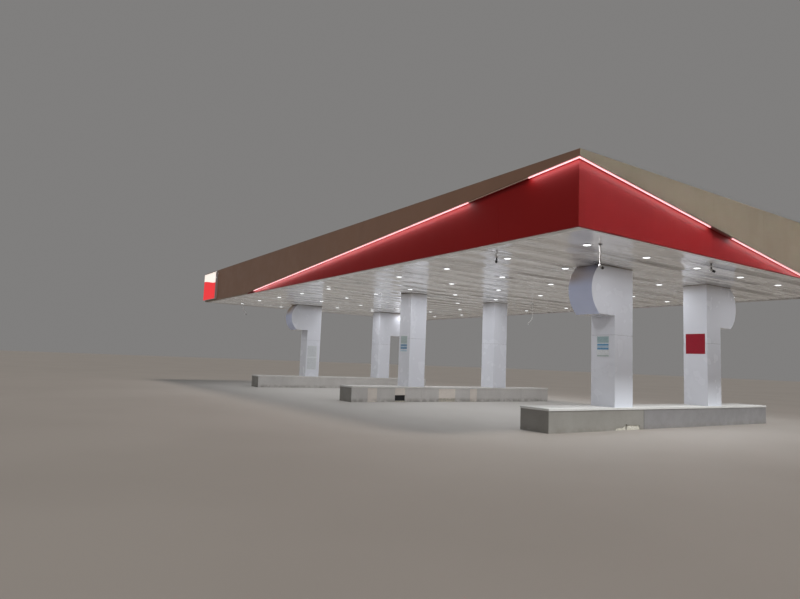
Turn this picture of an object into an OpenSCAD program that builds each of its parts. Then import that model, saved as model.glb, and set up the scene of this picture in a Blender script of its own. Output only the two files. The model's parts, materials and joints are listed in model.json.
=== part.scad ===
// Filling station canopy: a flat roof with a deep two-colour fascia, carried by
// six clad columns that stand on three stone-faced islands.
// Millimetres, +Z up, origin on the ground under the middle of the roof.
// The front is -Y, the left is -X, and the bands swap width from corner to corner:
// the red wedges are tallest at the front left and the back right corner.

/* [Roof] */
// Width of the roof along X, over the fascia
roof_w = 14900; // [13400:100:18000]
// Length of the roof along Y, over the fascia
roof_l = 26100; // [24400:100:30000]
// Clear height from the ground to the soffit
soffit_z = 4500; // [4200:50:5600]
// Height of the fascia from the soffit to the top of its coping
fascia_h = 1590; // [1400:20:2200]
// Thickness of the soffit lining
soffit_t = 30; // [20:5:60]
// Fall of the roof deck, as a part of its run
roof_fall = 0.02; // [0.01:0.005:0.03]

/* [Fascia] */
// Height of the upper band at the red corners, with the coping
band_min_h = 150; // [120:10:300]
// How far the upper band stands in front of the red panels
band_proud = 100; // [90:10:260]
// Thickness of the red panels
red_t = 40; // [20:5:60]
// Sheet thickness of the upper band's folded trays
sheet_t = 20; // [10:2:30]
// Length of the red wedges along the front and the back
wedge_run_w = 10180; // [8000:20:12000]
// Length of the red wedges along the left and right sides
wedge_run_l = 19720; // [16000:20:22000]
// Thickness of the wall behind the fascia
parapet_t = 60; // [40:5:100]
// Thickness of the coping
coping_t = 20; // [10:2:40]
// Depth of the coping's lip down the inside of the parapet
coping_lip = 60; // [40:5:120]
// How far the coping stands past the parapet on the inside
coping_over = 20; // [10:5:40]
// Leg of the angle that covers the red corners
corner_leg = 60; // [40:5:100]
// Sheet thickness of that angle
corner_t = 6; // [3:1:10]

/* [Light strips] */
// Width of the light strip under the upper band
strip_w = 40; // [25:5:45]
// Height of the light strip
strip_h = 30; // [20:2:50]
// Setback of the light strip behind the face of the upper band
strip_back = 30; // [15:5:40]
// Start of the failed length on the long sides, from the red corner
dark_from_l = 1460; // [600:20:2400]
// End of the failed length on the long sides
dark_to_l = 3520; // [2600:20:6000]
// Start of the failed length on the short sides, from the red corner
dark_from_w = 4900; // [3000:20:5200]
// End of the failed length on the short sides
dark_to_w = 5880; // [5400:20:7000]

/* [Lit sign boxes] */
// Width of the sign box at the end of each long side
sign_w = 2100; // [1200:50:2600]
// Thickness of the sign box
sign_t = 120; // [80:10:200]
// Margin between the sign box and the fascia's edges
sign_margin = 60; // [20:10:150]

/* [Columns] */
// Side of the square column cladding
column_side = 800; // [600:20:900]
// Distance between the centres of the two columns on an island
column_gap = 4650; // [3600:10:5400]
// Distance between the rows of columns
row_pitch = 9970; // [8500:10:10400]
// Thickness of the cladding cassettes
cladding_t = 40; // [20:5:60]
// Height of the horizontal joint in the cladding, above the ground
cladding_joint_z = 2600; // [1600:50:3000]
// Width and depth of that joint
groove = 8; // [4:1:15]
// Side of the steel box column inside the cladding
core_side = 300; // [200:10:400]
// Wall of the steel box column
core_wall = 12; // [8:1:20]
// Side of the column's base plate
base_plate = 500; // [420:10:600]
// Side of the plate on top of the box column
cap_plate = 360; // [280:10:460]
// Thickness of the base plate and of the cap plate
plate_t = 25; // [15:5:40]

/* [Disc heads] */
// Radius of the disc at the head of the outer columns
disc_r = 850; // [760:10:950]
// Distance of the disc's centre out from the column's side
disc_out = 140; // [60:10:220]
// Height of the disc head below the soffit
disc_h = 1360; // [1200:20:1480]

/* [Islands] */
// Length of an island along X
island_l = 10830; // [9600:10:12000]
// Width of an island along Y
island_w = 970; // [940:10:1400]
// Height of an island above the ground
island_h = 610; // [300:10:700]
// Thickness of the stone facing
facing_t = 40; // [20:5:60]
// Thickness of the coping slab on an island
slab_t = 60; // [40:5:100]
// How far the coping slab stands past the facing
slab_over = 15; // [5:5:40]

/* [Downlights] */
// Number of downlights across the roof
lamps_x = 6; // [4:2:8]
// Number of downlights along the roof
lamps_y = 10; // [6:2:12]
// Distance between downlights along X
lamp_pitch_x = 2290; // [1600:10:2400]
// Distance between downlights along Y
lamp_pitch_y = 2630; // [1800:10:2650]
// Outer diameter of the downlight's rim
lamp_d = 240; // [200:10:280]
// Diameter of the downlight's housing
lamp_can_d = 208; // [160:4:220]
// Clearance of the housing in the soffit, all round
lamp_gap = 1; // [0.5:0.5:3]
// Height of the housing above the soffit's underside
lamp_can_h = 90; // [60:5:140]
// Wall of the housing
lamp_wall = 8; // [4:1:10]
// How far the rim hangs below the soffit
lamp_rim_h = 6; // [4:1:12]
// Width of the rim's lip under the edge of the lens
lamp_lip = 7; // [4:1:12]
// Thickness of the lens
lamp_lens_t = 8; // [4:1:12]

/* [Roof frame] */
// Space between the soffit lining and the main beams
beam_gap = 170; // [100:10:250]
// Depth of the main beams at the ridge
beam_h = 500; // [400:10:600]
// Flange width of the main beams
beam_flange = 200; // [150:10:240]
// Flange thickness of the main beams
beam_flange_t = 20; // [12:1:30]
// Web thickness of the main beams
beam_web_t = 10; // [8:1:16]
// Depth of the purlins
purlin_h = 200; // [140:10:240]
// Flange width of the purlins
purlin_flange = 75; // [50:5:100]
// Sheet thickness of the purlins
purlin_t = 6; // [3:1:8]
// Number of purlins on each slope
purlins = 5; // [4:1:7]
// Distance of the first purlin from the ridge
purlin_first = 150; // [60:10:300]
// Space between the last purlin and the gutter
purlin_last_gap = 40; // [20:5:100]
// Depth of the deck's ribs
rib_h = 45; // [30:5:60]
// Distance between the deck's ribs
rib_pitch = 333; // [250:1:400]
// Sheet thickness of the deck
deck_t = 3; // [2:1:4]
// How far the deck reaches over the gutter
deck_over = 60; // [30:5:100]
// Distance of the deck's upper end from the ridge line
deck_gap = 10; // [4:1:30]
// Width of the ridge cap
ridge_cap_w = 440; // [300:10:600]
// Sheet thickness of the ridge cap
ridge_cap_t = 4; // [2:1:6]
// Width of the gutters
gutter_w = 195; // [150:5:240]
// Depth of the gutters
gutter_h = 150; // [100:10:200]
// Sheet thickness of the gutters
gutter_t = 4; // [2:1:6]

/* [Cameras] */
// Diameter of the plates that hold the cameras' brackets
bracket_plate_d = 110; // [80:5:120]
// Thickness of those plates
bracket_plate_t = 6; // [4:1:10]
// Diameter of the drop pole and of the swan-necks
pole_d = 34; // [25:1:48]
// Length of the drop pole at the front left corner
pole_drop = 460; // [300:20:900]
// Height of the swan-neck at the back left corner, down to its slanting part
neck_drop = 330; // [200:10:450]
// Height and reach of its slanting part
neck_reach = 180; // [120:10:260]
// Length of a swan-neck's foot under its slanting part
neck_foot = 50; // [30:5:90]
// Height of the bare swan-neck beside the middle row, down to its slanting part
bare_neck_drop = 670; // [500:10:900]
// Height and reach of its slanting part
bare_neck_reach = 230; // [120:10:300]
// Diameter of the dome camera under the swan-neck at the back
dome_d = 100; // [80:5:130]
// Length of the stems of the two cameras under the soffit
stem_l = 55; // [40:5:100]
// Length of a bullet camera's body
camera_l = 150; // [120:10:220]
// Diameter of a bullet camera's body
camera_d = 66; // [50:2:80]
// Tilt of the bullet cameras below the horizontal
camera_tilt = 22; // [10:1:40]

/* [Hidden] */
$fn = 96;
row_sides = [-1, 0, 1];
column_sides = [-1, 1];
open_joint = 2;
roof_top = soffit_z + fascia_h;
tray_top = roof_top - coping_t;
band_z0 = roof_top - band_min_h;
band_depth = band_proud + red_t;
parapet_depth = band_depth + parapet_t;
coping_depth = parapet_depth + coping_over;
soffit_top = soffit_z + soffit_t;
soffit_w = roof_w - 2 * band_depth;
soffit_l = roof_l - 2 * band_depth;
inner_w = roof_w - 2 * parapet_depth;
inner_l = roof_l - 2 * parapet_depth;
beam_z = soffit_top + beam_gap;
ridge_z = beam_z + beam_h;
roof_angle = atan(roof_fall);
gutter_x = inner_w / 2 - gutter_w;
deck_run = gutter_x + deck_over;
disc_z = soffit_z - disc_h / 2;
island_top = island_h - slab_t;
lamp_inner_r = lamp_can_d / 2 - lamp_wall;
lens_gap = 0.4;
lens_bulge = 1.6 * lamp_rim_h;
elbow_share = 1.3;
joint_gap = 4;
neck_share = 0.6;
rear_share = 0.3;
hood_share = 0.12;
hood_wall = 4;
dome_base_h = 35;
dome_rim = 8;

// Height of the upper band's lower edge at a distance from the red corner
function band_low(u, run) = band_z0 - (band_z0 - soffit_z) * u / run;

// Centres of the downlights
function lamp_place(i, j) = [
  (i - (lamps_x - 1) / 2) * lamp_pitch_x,
  (j - (lamps_y - 1) / 2) * lamp_pitch_y
];

// Frames of the four sides: along X is the distance from the red corner,
// along Y the depth behind the outer face
module front_side() {
  translate([-roof_w / 2, -roof_l / 2, 0]) children();
}

module left_side() {
  translate([-roof_w / 2, -roof_l / 2, 0]) mirror([1, -1, 0]) children();
}

module back_side() {
  rotate([0, 0, 180]) front_side() children();
}

module right_side() {
  rotate([0, 0, 180]) left_side() children();
}

// A drawing of the fascia (along, up) made into a sheet between two depths
module upright(near, far) {
  translate([0, far, 0])
    rotate([90, 0, 0])
      linear_extrude(height = far - near)
        children();
}

// What lies between two depths, mitred at both ends of a side
module mitred(len, near, far, gap = 0) {
  intersection() {
    children();
    linear_extrude(height = roof_top)
      polygon([
        [near + gap, near],
        [len - near - gap, near],
        [len - far - gap, far],
        [far + gap, far]
      ]);
  }
}

module at_column(row, side) {
  translate([side * column_gap / 2, row * row_pitch, 0]) children();
}

module at_row(row) {
  translate([0, row * row_pitch, 0]) children();
}

// A square block that stands on its centre
module post(side, z0, z1) {
  translate([-side / 2, -side / 2, z0]) cube([side, side, z1 - z0]);
}

module block(len, wid, z0, z1) {
  translate([-len / 2, -wid / 2, z0]) cube([len, wid, z1 - z0]);
}

// Islands

module island_core(row) {
  at_row(row)
    block(island_l - 2 * facing_t, island_w - 2 * facing_t, 0, island_top);
}

module island_facing(row) {
  at_row(row)
    difference() {
      block(island_l, island_w, 0, island_top);
      block(island_l - 2 * facing_t, island_w - 2 * facing_t, -1, island_top + 1);
    }
}

module island_slab(row) {
  difference() {
    at_row(row)
      block(island_l + 2 * slab_over, island_w + 2 * slab_over, island_top, island_h);
    for (side = column_sides)
      at_column(row, side) post(column_side + 2 * open_joint, island_top - 1, island_h + 1);
  }
}

// Columns

module column_core(row, side) {
  at_column(row, side) {
    post(base_plate, island_top, island_top + plate_t);
    difference() {
      post(core_side, island_top + plate_t, beam_z - plate_t);
      post(core_side - 2 * core_wall, island_top + plate_t - 1, beam_z - plate_t + 1);
    }
    post(cap_plate, beam_z - plate_t, beam_z);
  }
}

module column_cladding(row, side) {
  inside = column_side - 2 * cladding_t;
  at_column(row, side)
    difference() {
      post(column_side, island_top, soffit_z);
      post(inside, island_top - 1, soffit_z + 1);
      difference() {
        post(column_side + 2, cladding_joint_z, cladding_joint_z + groove);
        post(column_side - 2 * groove, cladding_joint_z - 1, cladding_joint_z + groove + 1);
      }
    }
}

// The part of a disc that stands out past the column's side, with a flat underside
module disc_solid(r, inset) {
  intersection() {
    translate([disc_out, column_side / 2 - inset, disc_z])
      rotate([90, 0, 0])
        cylinder(r = r, h = column_side - 2 * inset);
    translate([0, -column_side, soffit_z - disc_h + inset])
      cube([2 * disc_r, 2 * column_side, disc_h]);
  }
}

module disc_head(row, side) {
  at_column(row, side)
    mirror([side < 0 ? 1 : 0, 0, 0])
      translate([column_side / 2, 0, 0])
        intersection() {
          difference() {
            disc_solid(disc_r, 0);
            translate([-0.01, 0, 0]) disc_solid(disc_r - cladding_t, cladding_t);
          }
          translate([0, -column_side, 0]) cube([2 * disc_r, 2 * column_side, soffit_z]);
        }
}

// Soffit and downlights

module soffit_bay(y0, y1) {
  difference() {
    translate([-soffit_w / 2, y0, soffit_z]) cube([soffit_w, y1 - y0, soffit_t]);
    for (row = row_sides, side = column_sides)
      at_column(row, side) post(core_side + 10, soffit_z - 1, soffit_top + 1);
    for (i = [0:lamps_x - 1], j = [0:lamps_y - 1])
      translate([each lamp_place(i, j), soffit_z - 1])
        cylinder(d = lamp_can_d + 2 * lamp_gap, h = soffit_t + 2);
  }
}

module downlight_can() {
  can_r = lamp_can_d / 2;
  lip_r = lamp_inner_r - lamp_lip;
  rotate_extrude()
    polygon([
      [lip_r, -lamp_rim_h],
      [lamp_d / 2, -lamp_rim_h],
      [lamp_d / 2, 0],
      [can_r, 0],
      [can_r, lamp_can_h],
      [0, lamp_can_h],
      [0, lamp_can_h - lamp_wall],
      [lamp_inner_r, lamp_can_h - lamp_wall],
      [lamp_inner_r, 0],
      [lip_r, 0]
    ]);
}

module downlight_cans() {
  color("gainsboro")
    for (i = [0:lamps_x - 1], j = [0:lamps_y - 1])
      translate([each lamp_place(i, j), soffit_z]) downlight_can();
}

// A lens that rests on the rim's lip and bulges down through it
module downlight_lens() {
  edge_r = lamp_inner_r - lens_gap;
  bulge_r = lamp_inner_r - lamp_lip - 2 * lens_gap;
  rotate_extrude()
    polygon(concat(
      [[0, lamp_lens_t], [edge_r, lamp_lens_t], [edge_r, 0]],
      [for (a = [0:30:90]) [bulge_r * cos(a), -lens_bulge * sin(a)]]
    ));
}

module downlight_lenses() {
  color("white")
    for (i = [0:lamps_x - 1], j = [0:lamps_y - 1])
      translate([each lamp_place(i, j), soffit_z]) downlight_lens();
}

// Fascia

// A folded tray: front sheet, top return and a bottom return that climbs to the
// red corner
module upper_band(len, run) {
  slope = (band_z0 - soffit_z) / run;
  lift = sheet_t * sqrt(1 + slope * slope);
  inner_run = (band_z0 + lift - soffit_z - sheet_t) / slope;
  difference() {
    mitred(len, 0, band_depth)
      upright(0, band_depth)
        polygon([
          [0, band_z0],
          [run, soffit_z],
          [len, soffit_z],
          [len, tray_top],
          [0, tray_top]
        ]);
    upright(sheet_t, band_depth + 1)
      polygon([
        [-1, band_z0 + lift + slope],
        [inner_run, soffit_z + sheet_t],
        [len + 1, soffit_z + sheet_t],
        [len + 1, tray_top - sheet_t],
        [-1, tray_top - sheet_t]
      ]);
  }
}

module red_panel(len, run) {
  mitred(len, band_proud, band_depth)
    upright(band_proud, band_depth)
      polygon([[0, soffit_z], [run, soffit_z], [0, band_z0]]);
}

// An angle over the meeting of two red panels
module red_corner_angle() {
  near = band_proud - corner_t;
  top = band_low(near + corner_leg, wedge_run_w) - strip_h;
  translate([near, near, soffit_z])
    linear_extrude(height = top - soffit_z)
      difference() {
        square(corner_leg);
        translate([corner_t, corner_t]) square(corner_leg);
      }
}

// One length of the light strip, under the upper band
module light_length(from, to, run) {
  upright(strip_back, strip_back + strip_w)
    polygon([
      [from, band_low(from, run)],
      [to, band_low(to, run)],
      [to, band_low(to, run) - strip_h],
      [from, band_low(from, run) - strip_h]
    ]);
}

module light_strip(len, run, dark_from, dark_to) {
  slope = (band_z0 - soffit_z) / run;
  end = run - strip_h / slope;
  mitred(len, strip_back, strip_back + strip_w) {
    union() {
      light_length(0, dark_from - open_joint, run);
      light_length(dark_from, dark_to - open_joint, run);
      light_length(dark_to, end, run);
    }
  }
}

// A bare lit box on the end of a long side
module sign_box() {
  translate([roof_l - sign_w, -sign_t, soffit_z + sign_margin])
    cube([sign_w, sign_t, fascia_h - coping_t - 2 * sign_margin]);
}

module parapet_wall(len) {
  mitred(len, band_depth, parapet_depth, open_joint)
    upright(band_depth, parapet_depth)
      translate([0, soffit_top]) square([len, tray_top - soffit_top]);
}

module parapet_coping(len) {
  mitred(len, 0, coping_depth, open_joint)
    union() {
      upright(0, coping_depth) translate([0, tray_top]) square([len, coping_t]);
      upright(parapet_depth, coping_depth)
        translate([0, roof_top - coping_lip]) square([len, coping_lip]);
    }
}

// Roof frame

// A welded I-beam whose top follows the fall of the roof, drawn along X
module main_beam() {
  end = inner_w / 2;
  drop = end * roof_fall;
  module outline(cut) {
    polygon([
      [-end, beam_z + cut],
      [end, beam_z + cut],
      [end, ridge_z - drop - cut],
      [0, ridge_z - cut],
      [-end, ridge_z - drop - cut]
    ]);
  }
  translate([0, beam_flange / 2, 0])
    rotate([90, 0, 0])
      difference() {
        linear_extrude(height = beam_flange) outline(0);
        for (z0 = [-1, (beam_flange + beam_web_t) / 2])
          translate([0, 0, z0])
            linear_extrude(height = (beam_flange - beam_web_t) / 2 + 1)
              intersection() {
                outline(beam_flange_t);
                translate([-end - 1, beam_z]) square([2 * end + 2, beam_h]);
              }
      }
}

// The two slopes, each with X running down from the ridge on top of the beams
module slope(side) {
  mirror([side < 0 ? 1 : 0, 0, 0])
    translate([0, 0, ridge_z])
      rotate([0, roof_angle, 0])
        children();
}

module purlin_set() {
  last = gutter_x - purlin_flange - purlin_last_gap;
  step = (last - purlin_first) / (purlins - 1);
  color("slategray")
    for (side = column_sides, i = [0:purlins - 1])
      slope(side)
        translate([purlin_first + i * step, -inner_l / 2, 0])
          difference() {
            cube([purlin_flange, inner_l, purlin_h]);
            translate([purlin_t, -1, purlin_t])
              cube([purlin_flange, inner_l + 2, purlin_h - 2 * purlin_t]);
          }
}

// One slope of trapezoidal sheet with ribs that run down the fall
module deck_slope() {
  ribs = floor((inner_l - rib_pitch) / rib_pitch);
  crest = rib_pitch * 0.3;
  foot = rib_pitch * 0.5;
  function line(lift) = [
    for (i = [0:ribs - 1])
      let (c = (i + 0.5 - ribs / 2) * rib_pitch)
        each [
          [c - foot / 2, lift],
          [c - crest / 2, rib_h - deck_t + lift],
          [c + crest / 2, rib_h - deck_t + lift],
          [c + foot / 2, lift]
        ]
  ];
  under = line(0);
  over = line(deck_t);
  rotate([90, 0, 90])
    linear_extrude(height = deck_run)
      polygon(concat(
        [[-inner_l / 2, deck_t]],
        over,
        [[inner_l / 2, deck_t], [inner_l / 2, 0]],
        [for (i = [len(under) - 1:-1:0]) under[i]],
        [[-inner_l / 2, 0]]
      ));
}

module roof_deck() {
  color("lightsteelblue")
    for (side = column_sides)
      slope(side) translate([deck_gap, 0, purlin_h]) deck_slope();
}

module ridge_cap() {
  rise = purlin_h + rib_h;
  reach = ridge_cap_w / 2;
  z = ridge_z + rise / cos(roof_angle);
  drop = reach * roof_fall;
  color("lightsteelblue")
    translate([0, inner_l / 2, 0])
      rotate([90, 0, 0])
        linear_extrude(height = inner_l)
          polygon([
            [-reach, z - drop],
            [0, z],
            [reach, z - drop],
            [reach, z - drop + ridge_cap_t],
            [0, z + ridge_cap_t],
            [-reach, z - drop + ridge_cap_t]
          ]);
}

module gutters() {
  z = ridge_z - gutter_x * roof_fall;
  color("silver")
    for (side = column_sides)
      mirror([side < 0 ? 1 : 0, 0, 0])
        translate([gutter_x, -inner_l / 2, z])
          difference() {
            cube([gutter_w, inner_l, gutter_h]);
            translate([gutter_t, gutter_t, gutter_t])
              cube([gutter_w - 2 * gutter_t, inner_l - 2 * gutter_t, gutter_h]);
          }
}

// Cameras

// Each camera hangs a little to the side of a downlight
module beside_lamp(i, j, offset) {
  translate([each lamp_place(i, j) + offset, soffit_z]) children();
}

module at_drop_pole() {
  beside_lamp(0, 0, [140, -265]) children();
}

module at_swan_neck() {
  beside_lamp(0, lamps_y - 1, [-35, -235]) children();
}

// The swan-neck beside the middle row has no camera and turns the other way
module at_bare_neck() {
  beside_lamp(4, 4, [140, 160]) rotate([0, 0, 180]) children();
}

// The two cameras on short stems, each turned to its heading
module at_stems() {
  beside_lamp(0, 1, [-335, 65]) rotate([0, 0, 225]) children();
  beside_lamp(2, 0, [-20, -405]) rotate([0, 0, -40]) children();
}

module bracket_plate() {
  translate([0, 0, -bracket_plate_t]) cylinder(d = bracket_plate_d, h = bracket_plate_t);
}

// A ball elbow of a swan-neck, at a point of the XZ plane
module elbow(x, z) {
  translate([x, 0, z]) sphere(d = pole_d * elbow_share);
}

module drop_pole() {
  bracket_plate();
  translate([0, 0, -pole_drop]) cylinder(d = pole_d, h = pole_drop);
}

module swan_neck(drop, reach) {
  bend = -drop - reach;
  bracket_plate();
  translate([0, 0, -drop]) cylinder(d = pole_d, h = drop);
  elbow(0, -drop);
  translate([0, 0, -drop]) rotate([0, 135, 0]) cylinder(d = pole_d, h = reach * sqrt(2));
  elbow(reach, bend);
  translate([reach, 0, bend - neck_foot]) cylinder(d = pole_d, h = neck_foot);
}

module stem() {
  bracket_plate();
  translate([0, 0, -stem_l]) cylinder(d = pole_d, h = stem_l);
}

module camera_brackets() {
  color("gray") {
    at_drop_pole() drop_pole();
    at_swan_neck() swan_neck(neck_drop, neck_reach);
    at_bare_neck() swan_neck(bare_neck_drop, bare_neck_reach);
    at_stems() stem();
  }
}

// A bullet camera under a bracket's foot: a neck and a body that looks down along X,
// with a hood round its glass
module bullet_camera() {
  clear = camera_d / 2 / cos(camera_tilt) + pole_d / 2 * tan(camera_tilt);
  neck = clear + joint_gap;
  hood = camera_l * hood_share;
  translate([0, 0, -neck]) {
    cylinder(d = pole_d * neck_share, h = neck);
    rotate([0, 90 + camera_tilt, 0]) {
      translate([0, 0, -camera_l * rear_share])
        difference() {
          cylinder(d = camera_d, h = camera_l);
          translate([0, 0, camera_l - hood]) cylinder(d = camera_d - 2 * hood_wall, h = hood + 1);
        }
    }
  }
}

// A dome camera under a swan-neck's foot
module dome_camera() {
  translate([0, 0, -dome_base_h]) {
    cylinder(d = dome_d, h = dome_base_h);
    difference() {
      sphere(d = dome_d - 2 * dome_rim);
      cylinder(d = dome_d, h = dome_d);
    }
  }
}

module camera_bodies() {
  color("dimgray") {
    at_drop_pole() translate([0, 0, -pole_drop]) bullet_camera();
    at_stems() translate([0, 0, -stem_l]) bullet_camera();
    at_swan_neck()
      translate([neck_reach, 0, -neck_drop - neck_reach - neck_foot]) dome_camera();
  }
}

module island_core_a() { color("gray") island_core(-1); }
module island_core_b() { color("gray") island_core(0); }
module island_core_c() { color("gray") island_core(1); }
module island_facing_a() { color("tan") island_facing(-1); }
module island_facing_b() { color("tan") island_facing(0); }
module island_facing_c() { color("tan") island_facing(1); }
module island_slab_a() { color("linen") island_slab(-1); }
module island_slab_b() { color("linen") island_slab(0); }
module island_slab_c() { color("linen") island_slab(1); }

module column_cores() {
  color("dimgray")
    for (row = row_sides, side = column_sides)
      column_core(row, side);
}

module column_cladding_a1() { color("whitesmoke") column_cladding(-1, -1); }
module column_cladding_a2() { color("whitesmoke") column_cladding(-1, 1); }
module column_cladding_b1() { color("whitesmoke") column_cladding(0, -1); }
module column_cladding_b2() { color("whitesmoke") column_cladding(0, 1); }
module column_cladding_c1() { color("whitesmoke") column_cladding(1, -1); }
module column_cladding_c2() { color("whitesmoke") column_cladding(1, 1); }
module disc_head_a1() { color("whitesmoke") disc_head(-1, -1); }
module disc_head_a2() { color("whitesmoke") disc_head(-1, 1); }
module disc_head_c1() { color("whitesmoke") disc_head(1, -1); }
module disc_head_c2() { color("whitesmoke") disc_head(1, 1); }

module soffit_front() { color("white") soffit_bay(-soffit_l / 2, -row_pitch / 2); }
module soffit_middle() { color("white") soffit_bay(-row_pitch / 2, row_pitch / 2); }
module soffit_back() { color("white") soffit_bay(row_pitch / 2, soffit_l / 2); }

module upper_band_front() { color("rosybrown") front_side() upper_band(roof_w, wedge_run_w); }
module upper_band_left() { color("rosybrown") left_side() upper_band(roof_l, wedge_run_l); }
module upper_band_back() { color("rosybrown") back_side() upper_band(roof_w, wedge_run_w); }
module upper_band_right() { color("rosybrown") right_side() upper_band(roof_l, wedge_run_l); }

module red_panel_front() { color("firebrick") front_side() red_panel(roof_w, wedge_run_w); }
module red_panel_left() { color("firebrick") left_side() red_panel(roof_l, wedge_run_l); }
module red_panel_back() { color("firebrick") back_side() red_panel(roof_w, wedge_run_w); }
module red_panel_right() { color("firebrick") right_side() red_panel(roof_l, wedge_run_l); }

module red_corner_angles() {
  color("firebrick") {
    front_side() red_corner_angle();
    back_side() red_corner_angle();
  }
}

module light_strips_short() {
  color("mistyrose") {
    front_side() light_strip(roof_w, wedge_run_w, dark_from_w, dark_to_w);
    back_side() light_strip(roof_w, wedge_run_w, dark_from_w, dark_to_w);
  }
}

module light_strips_long() {
  color("mistyrose") {
    left_side() light_strip(roof_l, wedge_run_l, dark_from_l, dark_to_l);
    right_side() light_strip(roof_l, wedge_run_l, dark_from_l, dark_to_l);
  }
}

module sign_boxes() {
  color("white") {
    left_side() sign_box();
    right_side() sign_box();
  }
}

module parapet_walls() {
  color("darkgray") {
    front_side() parapet_wall(roof_w);
    left_side() parapet_wall(roof_l);
    back_side() parapet_wall(roof_w);
    right_side() parapet_wall(roof_l);
  }
}

module parapet_copings() {
  color("rosybrown") {
    front_side() parapet_coping(roof_w);
    left_side() parapet_coping(roof_l);
    back_side() parapet_coping(roof_w);
    right_side() parapet_coping(roof_l);
  }
}

module main_beams() {
  color("slategray")
    for (row = row_sides)
      at_row(row) main_beam();
}

island_core_a();
island_core_b();
island_core_c();
island_facing_a();
island_facing_b();
island_facing_c();
island_slab_a();
island_slab_b();
island_slab_c();
column_cores();
column_cladding_a1();
column_cladding_a2();
column_cladding_b1();
column_cladding_b2();
column_cladding_c1();
column_cladding_c2();
disc_head_a1();
disc_head_a2();
disc_head_c1();
disc_head_c2();
soffit_front();
soffit_middle();
soffit_back();
downlight_cans();
downlight_lenses();
upper_band_front();
upper_band_left();
upper_band_back();
upper_band_right();
red_panel_front();
red_panel_left();
red_panel_back();
red_panel_right();
red_corner_angles();
light_strips_short();
light_strips_long();
sign_boxes();
parapet_walls();
parapet_copings();
main_beams();
purlin_set();
roof_deck();
ridge_cap();
gutters();
camera_brackets();
camera_bodies();
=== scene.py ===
import json
import math
import random

import bmesh
import bpy
from mathutils import Matrix, Vector, noise

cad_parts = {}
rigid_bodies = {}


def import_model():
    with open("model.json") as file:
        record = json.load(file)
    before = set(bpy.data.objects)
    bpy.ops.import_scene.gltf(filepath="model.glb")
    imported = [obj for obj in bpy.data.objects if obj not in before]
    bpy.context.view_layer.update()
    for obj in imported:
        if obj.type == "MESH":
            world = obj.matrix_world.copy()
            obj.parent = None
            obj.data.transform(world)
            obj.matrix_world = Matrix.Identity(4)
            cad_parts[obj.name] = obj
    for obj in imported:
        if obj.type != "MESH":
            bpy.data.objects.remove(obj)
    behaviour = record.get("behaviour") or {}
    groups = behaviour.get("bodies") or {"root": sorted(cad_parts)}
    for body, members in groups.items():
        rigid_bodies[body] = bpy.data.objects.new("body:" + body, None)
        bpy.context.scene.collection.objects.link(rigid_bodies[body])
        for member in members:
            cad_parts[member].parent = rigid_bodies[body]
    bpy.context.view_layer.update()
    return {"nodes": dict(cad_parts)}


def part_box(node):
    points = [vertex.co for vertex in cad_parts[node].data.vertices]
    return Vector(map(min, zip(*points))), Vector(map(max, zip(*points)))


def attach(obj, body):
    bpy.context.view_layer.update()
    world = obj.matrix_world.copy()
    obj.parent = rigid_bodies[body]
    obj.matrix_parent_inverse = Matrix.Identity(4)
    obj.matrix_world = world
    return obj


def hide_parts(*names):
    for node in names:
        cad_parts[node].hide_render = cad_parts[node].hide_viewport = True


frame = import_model()


def low(node):
    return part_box(node)[0]


def high(node):
    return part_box(node)[1]


def centre(node):
    return (low(node).x + high(node).x) / 2, (low(node).y + high(node).y) / 2


# Sizes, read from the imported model. RED_NEAR and BAND_DEPTH are the depths of the red panels'
# faces, RUN_W and RUN_L the wedges' lengths, BAND_Z0 the height of their slanting edge at its start.
lowest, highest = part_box("parapet_copings")
ROOF_W = highest.x - lowest.x
ROOF_L = highest.y - lowest.y
ROOF_TOP = highest.z
COPING_FOOT = lowest.z
TRAY_TOP = high("upper_band_front").z
SOFFIT_Z = low("soffit_middle").z
RED_NEAR = low("red_panel_front").x + ROOF_W / 2
BAND_DEPTH = high("red_panel_front").y + ROOF_L / 2
RUN_W = high("red_panel_front").x + ROOF_W / 2
RUN_L = high("red_panel_left").y + ROOF_L / 2
BAND_Z0 = SOFFIT_Z + (high("red_panel_front").z - SOFFIT_Z) / (1 - RED_NEAR / RUN_W)
SOFFIT_X = high("soffit_middle").x
SOFFIT_Y = high("soffit_back").y
ISLAND_TOP = high("island_slab_a").z
SLAB_BASE = low("island_slab_a").z
COLUMN_SIDE = high("column_cladding_a1").x - low("column_cladding_a1").x
COLUMN_X = centre("column_cladding_a2")[0]
ROW_Y = {row: centre("column_cladding_" + row + "1")[1] for row in "abc"}
DISC_LOW = low("disc_head_a1").z
DISC_REACH = high("disc_head_a2").x - COLUMN_X
STRIP_NEAR = low("light_strips_long").x + ROOF_W / 2

# Sizes of what is only drawn here
CASSETTE_L = 2.45
COPING_L = 2.9
SIGN_W = 2.1
DISC_R = 0.85
DISC_STEPS = 40
JOINT_Z = 2.6
JOINT = 0.003
BEAD_SHADE_H = 0.012
LAMPS_X = 6
LAMPS_Y = 10
LAMP_D = 0.24
LENS_R = 0.089
LENS_BULGE = 0.01
HOLE_R = 0.104
HOLE_STEPS = 24
STRIPS_PER_LAMP = 9
CELLS_PER_LAMP = 8
LINING_GAP = 0.03
STRIP_W = 0.04
STRIP_H = 0.03
# Failed lengths of the light strips, and the dark end of the long ones
DARK_LONG = (1.46, 3.52)
DARK_SHORT = (4.90, 5.88)
DARK_TAIL = 0.75

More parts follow.
